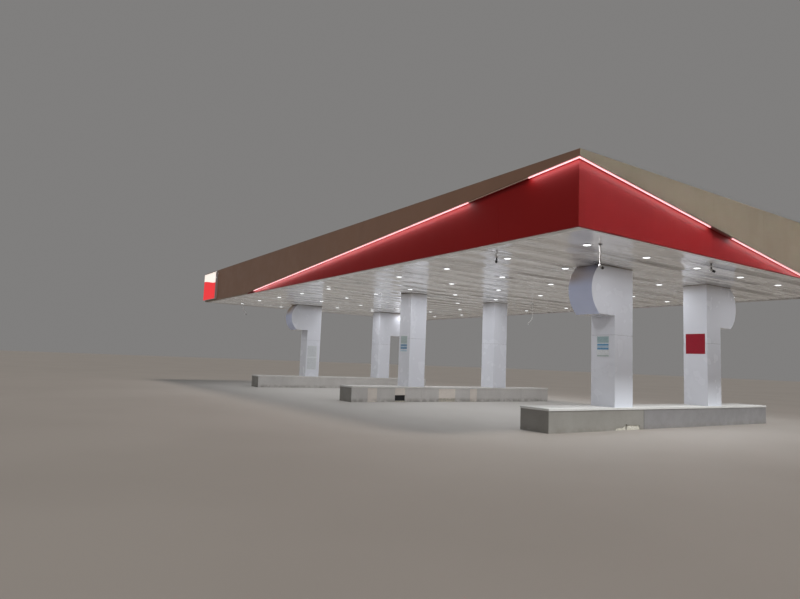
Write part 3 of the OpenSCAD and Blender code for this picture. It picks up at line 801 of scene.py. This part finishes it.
def downlights():
    """Each lamp's rim and its domed lens, which is dull where the lamp is out or failing."""
    rims = Shape(RIM)
    lenses = Shape(LENS, LENS_OUT, LENS_FAILING)
    r = LAMP_D / 2
    ring = [(LENS_R, -0.0015), (LENS_R, -0.0042), (LENS_R + 0.004, -0.0058), (r - 0.012, -0.0058),
            (r - 0.003, -0.0042), (r, -0.0012), (r, 0.0), (0.103, 0.001), (0.103, 0.05), (0.099, 0.05),
            (0.099, 0.0), (LENS_R, -0.0015)]
    bowl = [(LENS_R * math.sin(a), -0.003 - LENS_BULGE * math.cos(a))
            for a in (math.radians(10 * k) for k in range(10))]
    bowl += [(LENS_R + 0.008, -0.0012), (LENS_R + 0.008, 0.004), (0.0, 0.004)]
    for i, (x, y) in enumerate(LAMPS):
        rims.turned(ring, (x, y, SOFFIT_Z))
        lens = LENS_OUT if i in LAMPS_OUT else LENS_FAILING if i == LAMP_FAILING else LENS
        lenses.turned(bowl, (x, y, SOFFIT_Z), material=lens)
    finish_piece("lamp_rims", rims, ["downlight_cans"])
    finish_piece("lamp_lenses", lenses, ["downlight_lenses"])


# Columns


def column(row, side):
    """One clad column: a lower and an upper cassette with a joint, and the disc on rows a and c."""
    shape = Shape(WHITE, DARK, SEALANT_AND_SHADE, RIM_METAL)
    tag = row + ("1" if side < 0 else "2")
    replaces = ["column_cladding_" + tag]
    cx, cy = side * COLUMN_X, ROW_Y[row]
    half = COLUMN_SIDE / 2
    inner = half - JOINT
    shape.box((cx - half, cy - half, ISLAND_TOP - 0.05), (cx + half, cy + half, JOINT_Z))
    shape.box((cx - inner, cy - inner, JOINT_Z - 0.01),
              (cx + inner, cy + inner, JOINT_Z + JOINT + 0.01), DARK)
    hidden_top = SOFFIT_Z + 0.013
    outline = [(-half, hidden_top), (-half, JOINT_Z + JOINT), (half, JOINT_Z + JOINT)]
    edge_x = top_x = half
    rim = []
    if row != "b":
        replaces.append("disc_head_" + tag)
        middle_x = DISC_REACH - DISC_R
        middle_z = (DISC_LOW + SOFFIT_Z) / 2
        tip = math.asin((SOFFIT_Z - middle_z) / DISC_R)
        outline.append((half, DISC_LOW))
        rim = range(len(outline), len(outline) + DISC_STEPS)
        outline += [(middle_x + DISC_R * math.cos(a), middle_z + DISC_R * math.sin(a))
                    for a in (-tip + 2 * tip * k / DISC_STEPS for k in range(DISC_STEPS + 1))]
        edge_x = outline[-1][0]
        top_x = edge_x - 0.01
    outline.append((top_x, hidden_top))
    first = len(shape.faces)
    shape.loft([[(cx + side * x, cy + y, z) for x, z in outline] for y in (-half, half)])
    shape.paint([first + i for i in rim], RIM_METAL)
    # The bead round the column's top: sealant and painted shade under the soffit
    edge = 0.0015
    bead = [cx - side * (half + edge), cx + side * (edge_x + edge)]
    shape.box((min(bead), cy - half - edge, SOFFIT_Z - BEAD_SHADE_H),
              (max(bead), cy + half + edge, SOFFIT_Z + 0.005), SEALANT_AND_SHADE)
    finish_piece("column_" + tag, shape, replaces, bevel=0.004)


# Islands


def whole_foot(x0, x1):
    """The lower edge of a facing stone."""
    return [(x0, 0), (x1, 0)]


def chipped_foot(x0, x1):
    """The front island's broken stone, gone there for a metre."""
    foot = [(-2.80, 0), (-2.77, 0.045), (-2.63, 0.066), (-2.5, 0.062), (-2.41, 0.088), (-2.36, 0.15),
            (-2.31, 0.152), (-2.28, 0.125), (-2.05, 0.131), (-1.9, 0.118), (-1.76, 0.124), (-1.71, 0)]
    return [(x0, 0)] + foot + [(x1, 0)]


def notched_foot(x0, x1):
    """The middle island's stone over a hole at its foot."""
    return [(x0, 0.27), (x1, 0.27)]


def worn_foot(x0, x1):
    """A crumbled stone of the middle island."""
    steps = 14
    return [(x0 + (x1 - x0) * k / steps, 0.13 + 0.03 * noise.noise(Vector((k * 0.9, 2.3, 0))))
            for k in range(steps + 1)]


# Joints of each row's front facing along X. A stone is known by its row and its left end.
WIDE_JOINT = -1.53
STONES = {
    "a": [WIDE_JOINT],
    "b": [-4.7, -4.27, -3.42, -2.93, -2.1, -1.2, -0.3, 0.52, 0.92, 2.6, 4.2],
    "c": [-3.6, -1.8, 0.0, 1.8, 3.6],
}
ODD_STONES = {("b", x): FACING_PALE for x in (-4.7, -3.42, -1.2, 0.52)}
ODD_STONES["a", WIDE_JOINT] = FACING_COOL
BROKEN_FEET = {("a", round(low("island_facing_a").x, 2)): chipped_foot, ("b", -3.42): notched_foot,
               ("b", -1.2): worn_foot}
# Where facing is broken away: row, from and to along X, height and depth of the mortar behind
BROKEN_SPOTS = [("a", -2.82, -2.36, 0.155, 0.006), ("a", -2.3, -1.69, 0.14, 0.012),
                ("b", -1.21, -0.29, 0.17, 0.02)]


def island(row):
    """An island's facing stones, and its coping slabs with cut-outs for the columns."""
    y = ROW_Y[row]
    lo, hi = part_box("island_facing_" + row)
    facing = Shape(FACING, FACING_PALE, FACING_COOL, DARK, FACING_WORN)
    thick, joint = 0.04, 0.0012
    stops = [lo.x] + STONES[row] + [hi.x]
    for a, b in zip(stops, stops[1:]):
        x0 = a + (joint if a > lo.x else 0)
        x1 = b - (joint if b < hi.x else 0)
        stone_key = (row, round(a, 2))
        look = ODD_STONES.get(stone_key, FACING if row == "a" else FACING_WORN)
        outline = BROKEN_FEET.get(stone_key, whole_foot)(x0, x1) + [(x1, SLAB_BASE), (x0, SLAB_BASE)]
        facing.loft([[(x, lo.y + d, z) for x, z in outline] for d in (0, thick)], look)
        facing.box((x0, hi.y - thick, 0), (x1, hi.y, SLAB_BASE))
    for x0, x1 in ((lo.x, lo.x + thick), (hi.x - thick, hi.x)):
        facing.box((x0, lo.y + thick + joint, 0), (x1, hi.y - thick - joint, SLAB_BASE))
    if row == "a":
        facing.box((WIDE_JOINT - 0.01, lo.y - 0.0004, 0), (WIDE_JOINT + 0.01, lo.y + 0.01, SLAB_BASE), DARK)
    finish_piece("facing_stones_" + row, facing, ["island_facing_" + row], bevel=0.002)
    lo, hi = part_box("island_slab_" + row)
    slabs = Shape(SLAB)
    hole = COLUMN_SIDE / 2 + 0.002
    edges = [lo.x, -COLUMN_X - hole, -COLUMN_X + hole, COLUMN_X - hole, COLUMN_X + hole, hi.x]
    for a, b, count in zip(edges[::2], edges[1::2], (2, 3, 2)):
        ends = cuts(b, count, a)
        for u, v in zip(ends, ends[1:]):
            slabs.box((u + joint, lo.y, SLAB_BASE), (v - joint, hi.y, ISLAND_TOP))
    for a, b in zip(edges[1::2], edges[2::2]):
        slabs.box((a + joint, lo.y, SLAB_BASE), (b - joint, y - hole, ISLAND_TOP))
        slabs.box((a + joint, y + hole, SLAB_BASE), (b - joint, hi.y, ISLAND_TOP))
    finish_piece("coping_slabs_" + row, slabs, ["island_slab_" + row],
                 bevel=0.006, segments=3)


def broken_spots():
    """What shows where facing is broken away: pale mortar, and the dark hole of the middle island."""
    shape = Shape(MORTAR, DARK)
    columns, rows, behind = 26, 6, 0.038
    faces = [[k, k + 1, k + columns + 2, k + columns + 1]
             for k in (j * (columns + 1) + i for j in range(rows) for i in range(columns))]
    for row, x0, x1, top, deep in BROKEN_SPOTS:
        face_y = low("island_facing_" + row).y
        grid = [(x0 + (x1 - x0) * i / columns, top * j / rows)
                for j in range(rows + 1) for i in range(columns + 1)]
        shape.add([(x, face_y + deep + noise.noise(Vector((x * 16, z * 16, face_y))) * 0.005, z)
                   for x, z in grid], faces)
        shape.add([(x, face_y + behind, z) for x, z in grid], [face[::-1] for face in faces])
    face_y = low("island_facing_b").y
    shape.box((-3.43, face_y + 0.03, 0.0), (-2.92, face_y + behind, 0.28), DARK)
    shape.box((-3.42, face_y + 0.004, 0.0), (-2.93, face_y + 0.03, 0.05))
    finish_piece("broken_facing", shape, smooth=60)


# Plates and cameras


def plate(name, column_tag, y0, y1, z0, z1, base, bands):
    """A thin bare plate on a column's left face. Bands are (from, to, colour) over its height."""
    face_x = low("column_cladding_" + column_tag).x
    thick, inset = 0.003, 0.012
    colours = dict.fromkeys([base] + [colour for _, _, colour in bands])
    shape = Shape(*(PLATES[colour] for colour in colours), ZINC)
    shape.box((face_x - thick, y0, z0), (face_x - 0.0002, y1, z1))
    height = z1 - z0
    for share0, share1, colour in bands:
        shape.box((face_x - thick - 0.0006, y0 + inset, z0 + height * share0),
                  (face_x - thick + 0.0004, y1 - inset, z0 + height * share1), PLATES[colour])
    screw = [(0.0, 0.0026), (0.003, 0.0022), (0.005, 0.0008), (0.005, 0.0), (0.0, 0.0)]
    turn = Matrix.Rotation(math.radians(-90), 4, "Y")
    for y in (y0 + inset, y1 - inset):
        for z in (z0 + inset, z1 - inset):
            start = len(shape.points)
            shape.turned(screw, (0, 0, 0), 12, ZINC)
            shape.moved(Matrix.Translation((face_x - thick, y, z)) @ turn, start)
    finish_piece(name, shape)


def column_plates():
    plate("plate_a1", "a1", -10.18, -9.77, 1.985, 2.576, "white",
          [(0.67, 0.97, "teal"), (0.54, 0.62, "blue"), (0.44, 0.53, "pale"), (0.35, 0.43, "blue"),
           (0.025, 0.08, "slate")])
    plate("plate_a2", "a2", -10.3, -9.65, 2.253, 2.903, "red", [])
    plate("plate_b1", "b1", -0.21, 0.29, 2.02, 2.72, "white",
          [(0.52, 0.97, "slate"), (0.36, 0.48, "steel_blue"), (0.19, 0.33, "steel_blue"),
           (0.05, 0.14, "pale")])
    notice_on_front()


def notice_on_front():
    """A tall bare notice board on the front of the back left column."""
    y = low("column_cladding_c1").y
    shape = Shape(PLATES["white"], PLATES["faint"])
    shape.box((-2.69, y - 0.004, 0.98), (-2.1, y - 0.0002, 2.3))
    for z0, z1 in ((1.7, 2.27), (1.01, 1.62)):
        shape.box((-2.66, y - 0.0046, z0), (-2.13, y - 0.0036, z1), PLATES["faint"])
    finish_piece("notice_c1", shape)


# Places of the cameras: beside downlights, as packed
DROP_POLE = (-5.585, -12.1)
POLE_DROP = 0.46
# Each swan-neck: its place, its drop and the reach of its slanting part along X
SWAN_NECKS = [(-5.76, 11.6, 0.33, 0.18), (3.575, -1.155, 0.67, -0.23)]
NECK_FOOT = 0.05
# Each stem: its place and its camera's heading in degrees
STEMS = [(-6.06, -9.14, 225), (-1.165, -12.24, -40)]
STEM_L = 0.055
ARM_R = 0.017
ARM_STEPS = 20
ARM_TOP = SOFFIT_Z - 0.004
BULLET_NECK = 0.0465
BULLET_TILT = 22


def ceiling_plate(shape, x, y, material=None):
    """A round plate with four screws under the soffit."""
    shape.turned([(0.0, 0.006), (0.055, 0.006), (0.055, -0.001), (0.052, -0.005), (0.03, -0.0065),
                  (0.024, -0.014), (0.0, -0.014)], (x, y, SOFFIT_Z), 28, material)
    for dx, dy in circle(0.04, 4, math.pi / 4):
        shape.turned([(0.0, -0.0085), (0.004, -0.0078), (0.0055, -0.006), (0.0055, -0.003), (0.0, -0.003)],
                     (x + dx, y + dy, SOFFIT_Z), 10)


def bullet_camera(arms, bodies, x, y, z, heading):
    """A white bullet camera with a dark hooded front, on a dark ball joint under a bracket's foot."""
    arms.tube([(x, y, z + 0.004), (x, y, z - BULLET_NECK + 0.015)], 0.012, material=SHELL)
    arms.turned([(0.0, 0.012), (0.018, 0.01), (0.026, 0.0), (0.026, -0.012), (0.018, -0.024), (0.0, -0.026)],
                (x, y, z - 0.002), 20, SHELL)
    start = len(bodies.points)
    half, length, rear = 0.033, 0.15, 0.045
    for profile, material in (
            ([(0.0, 0.0), (half * 0.7, 0.001), (half * 0.92, 0.006), (half, 0.018), (half, 0.068),
              (half, 0.07)], SHELL_WHITE),
            ([(half, 0.07), (half * 1.01, 0.074), (half * 1.01, length - 0.004), (half, length),
              (half - 0.004, length), (half - 0.004, 0.133), (0.02, 0.131)], SHELL),
            ([(0.02, 0.131), (0.018, 0.136), (0.01, 0.139), (0.0, 0.14)], GLASS)):
        bodies.turned(profile, (0, 0, -rear), 28, material)
    turn = Matrix.Rotation(math.radians(heading), 4, "Z")
    turn = turn @ Matrix.Rotation(math.radians(90 + BULLET_TILT), 4, "Y")
    bodies.moved(Matrix.Translation((x, y, z - BULLET_NECK)) @ turn, start)


def swan_neck(arms, x, y, drop, reach):
    """A round arm from the soffit down, out to one side and down again; gives its foot."""
    ceiling_plate(arms, x, y)
    way = math.copysign(1, reach)
    bend = Vector((x, y, SOFFIT_Z - drop))
    lower = bend + Vector((reach, 0, -abs(reach)))
    foot = lower - Vector((0, 0, NECK_FOOT))
    soft = 0.05

    def near(corner, out, up):
        return corner + Vector((way * soft * out, 0, soft * up))

    arms.tube([Vector((x, y, ARM_TOP)), near(bend, 0, 1), near(bend, 0.12, 0.35), near(bend, 0.6, -0.6),
               near(lower, -0.6, 0.6), near(lower, -0.12, -0.1), near(lower, 0, -0.7), foot],
              ARM_R, ARM_STEPS, NECK_WHITE)
    return foot


def cameras():
    """The arms under the soffit and the cameras on them; the second swan-neck is bare."""
    arms = Shape(BRACKET, SHELL, NECK_WHITE)
    bodies = Shape(SHELL_WHITE, SHELL, GLASS)
    hung = [(*DROP_POLE, 0, POLE_DROP, SHELL, BRACKET)]
    hung += [(x, y, heading, STEM_L, BRACKET, SHELL) for x, y, heading in STEMS]
    for x, y, heading, drop, plate_look, arm_look in hung:
        ceiling_plate(arms, x, y, plate_look)
        arms.tube([(x, y, ARM_TOP), (x, y, SOFFIT_Z - drop)], ARM_R, ARM_STEPS, arm_look)
        bullet_camera(arms, bodies, x, y, SOFFIT_Z - drop, heading)
    feet = [swan_neck(arms, *neck) for neck in SWAN_NECKS]
    cap = [(0.0, 0.0), (0.022, 0.0), (0.044, -0.006), (0.05, -0.016), (0.05, -0.035), (0.044, -0.036)]
    dome = [(0.042 * math.cos(a), -0.036 - 0.041 * math.sin(a))
            for a in (math.radians(11.25 * k) for k in range(9))]
    bodies.turned(cap, feet[0])
    bodies.turned(dome, feet[0], material=SHELL)
    finish_piece("camera_arms", arms, ["camera_brackets"])
    finish_piece("camera_housings", bodies, ["camera_bodies"])


# Stage, light and camera

FLOOR_HALF = 220.0
KEY_WAY = (-0.22, 0.62, -0.86)
FILL_WAY = (0.7, 0.1, -0.7)
FASCIA_NAMES = ("band_", "red_", "copings", "light_strips", "sign_boxes")
LIFT_SPREAD = 0.8
# The photograph's camera, from a fit to edges and lamps; yaw, pitch and roll in degrees
CAMERA_TURN = (33.546, 5.841, 2.264)
CAMERA_PLACE = (-16.942, -20.971, 1.64)
CAMERA_LENS = 27.116


def floor():
    mesh = bpy.data.meshes.new("floor")
    h = FLOOR_HALF
    mesh.from_pydata([(-h, -h, 0), (h, -h, 0), (h, h, 0), (-h, h, 0)], [], [[0, 1, 2, 3]])
    obj = new_object("floor", mesh)
    s = Surface("floor_pale", (0.5, 0.485, 0.465), 0.6)
    s.tint(s.noise(0.2, detail=3), 0.35, 0.7, (0.47, 0.455, 0.435))
    mesh.materials.append(s.material)
    return obj


def named(prefixes):
    return [obj for obj in bpy.data.objects if obj.name.startswith(prefixes)]


def receivers(name, objects, state):
    """What a light reaches: all but these objects, or these alone."""
    group = bpy.data.collections.new(name)
    for obj in objects:
        group.objects.link(obj)
    for entry in group.collection_objects:
        entry.light_linking.link_state = state
    return group


def add_light(name, kind, energy, colour, lit=None, **values):
    """A light that shows neither to the camera nor in gloss. It reaches all unless lit is given."""
    light = bpy.data.lights.new(name, kind)
    light.energy = energy
    light.color = colour
    for key, value in values.items():
        setattr(light, key, value)
    obj = new_object(name, light)
    obj.visible_camera = False
    obj.visible_glossy = False
    obj.light_linking.receiver_collection = lit
    return obj


def add_sun(name, energy, spread, colour, toward, lit):
    sun = add_light(name, "SUN", energy, colour, lit, angle=math.radians(spread))
    sun.rotation_euler = Vector(toward).to_track_quat("-Z", "Y").to_euler()


def studio_light(ground):
    """A plain sky, a soft sun, fills that reach only some pieces, and a light under each lamp."""
    world = bpy.data.worlds.new("studio")
    world.use_nodes = True
    sky = world.node_tree.nodes["Background"]
    sky.inputs["Color"].default_value = (1.0, 0.98, 0.965, 1)
    sky.inputs["Strength"].default_value = 0.215
    bpy.context.scene.world = world
    fascia = named(FASCIA_NAMES)
    pieces = receivers("lit_pieces", [ground], "EXCLUDE")
    floor_only = receivers("lit_floor", [ground], "INCLUDE")
    fascia_only = receivers("lit_fascia", fascia, "INCLUDE")
    below = receivers("lit_below", [ground] + fascia, "EXCLUDE")
    ceiling = receivers("lit_ceiling", named("lining_"), "INCLUDE")
    add_sun("key", 3.9, 12, (0.93, 0.98, 1.0), KEY_WAY, pieces)
    add_sun("fill_fascia", 0.64, 24, (1.0, 0.25, 0.08), FILL_WAY, fascia_only)
    add_sun("fill_below", 0.4, 24, (0.8, 0.9, 1.0), FILL_WAY, below)
    add_sun("floor_sun", 1.05, 12, (1.0, 0.86, 0.74), KEY_WAY, floor_only)
    lift = add_light("ceiling_lift", "AREA", 202, (1.0, 0.99, 0.98), ceiling, shape="RECTANGLE",
                     size=LIFT_SPREAD * ROOF_W, size_y=LIFT_SPREAD * ROOF_L)
    lift.location = (-2.3, 3.9, 0.7)
    lift.rotation_euler = (math.pi, 0, 0)
    for i, (x, y) in enumerate(LAMPS):
        if i not in LAMPS_OUT:
            lamp = add_light("lamp_%02d" % i, "AREA", LAMP_WATTS.get(i, LAMP_WATT), (0.97, 0.98, 1.0),
                             shape="DISK", size=2 * LENS_R)
            lamp.location = (x, y, SOFFIT_Z - 0.02)


def photo_camera():
    yaw, pitch, roll = (math.radians(a) for a in CAMERA_TURN)
    ahead = Vector((math.sin(yaw) * math.cos(pitch), math.cos(yaw) * math.cos(pitch), math.sin(pitch)))
    level = Vector((math.cos(yaw), -math.sin(yaw), 0))
    above = level.cross(ahead)
    across = level * math.cos(roll) + above * math.sin(roll)
    upward = above * math.cos(roll) - level * math.sin(roll)
    camera = bpy.data.cameras.new("camera")
    camera.sensor_width = 36
    camera.lens = CAMERA_LENS
    camera.clip_end = 1000
    obj = new_object("camera", camera)
    turn = Matrix((across, upward, -ahead)).transposed().to_4x4()
    obj.matrix_world = Matrix.Translation(CAMERA_PLACE) @ turn
    bpy.context.scene.camera = obj


photo_camera()
dress_nodes()
for side_name in SIDES:
    band_cassettes(side_name)
    red_cassettes(side_name)
red_lips()
copings()
light_strips(("front", "back"), "light_strips_on_ends", "light_strips_short")
light_strips(("left", "right"), "light_strips_on_sides", "light_strips_long")
sign_boxes()
bay = low("soffit_middle").y
soffit_strips("lining_front", "soffit_front", lambda y: y < bay)
soffit_strips("lining_middle", "soffit_middle", lambda y: bay <= y < -bay)
soffit_strips("lining_back", "soffit_back", lambda y: y >= -bay)
soffit_trim()
downlights()
for row_name in "abc":
    island(row_name)
    for column_side in (-1, 1):
        column(row_name, column_side)
column_plates()
broken_spots()
cameras()
studio_light(floor())
bpy.context.scene.view_settings.view_transform = "Standard"
